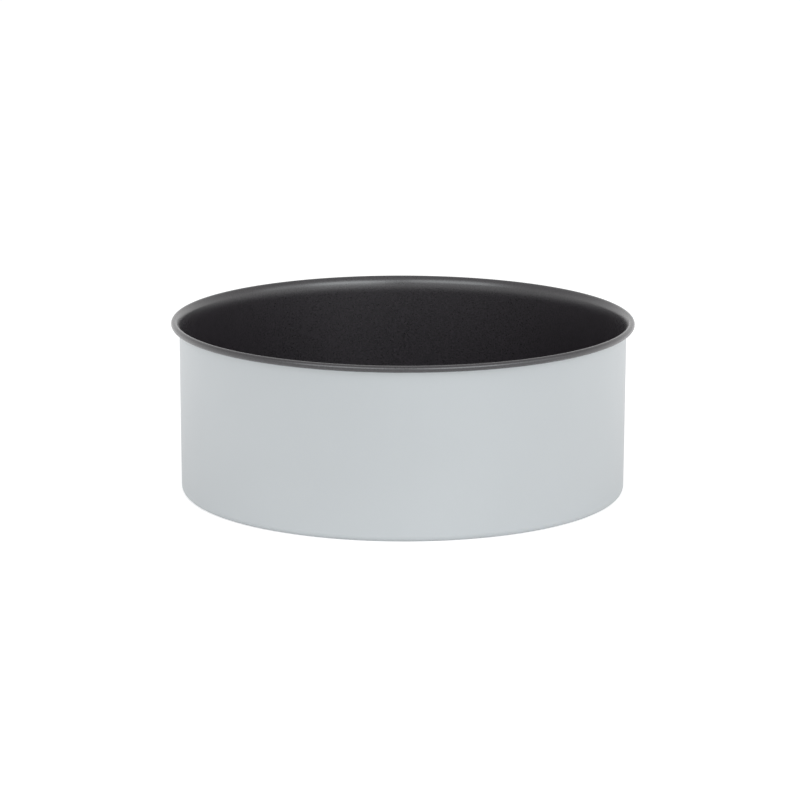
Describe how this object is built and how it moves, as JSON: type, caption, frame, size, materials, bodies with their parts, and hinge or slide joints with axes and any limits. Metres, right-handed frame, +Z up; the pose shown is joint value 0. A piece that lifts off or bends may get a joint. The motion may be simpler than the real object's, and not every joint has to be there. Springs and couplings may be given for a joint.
{
  "type": "loose-base cake tin",
  "caption": "Deep round cake tin with a straight drawn wall, a rolled rim and an inward ledge, on which a loose pressed base rests and lifts out to free the cake.",
  "frame": {"origin": "centre of the tin's underside, on the surface that it stands on", "axes": "+Z up along the tin's axis, towards the mouth; the tin is round, so X and Y are free"},
  "size_m": [0.24, 0.24, 0.09],
  "materials": {
    "outer_finish": "satin pale blue-grey baked coat",
    "nonstick_lining": "dark grey non-stick coat with a fine grain"
  },
  "bodies": {
    "wall": {"tin_wall": "outer_finish"},
    "base": {"loose_base": "nonstick_lining"}
  },
  "joints": [
    {"name": "base_lift", "type": "slide", "parent": "wall", "child": "base", "axis": [0, 0, 1], "range_m": [0, 0.105]}
  ]
}
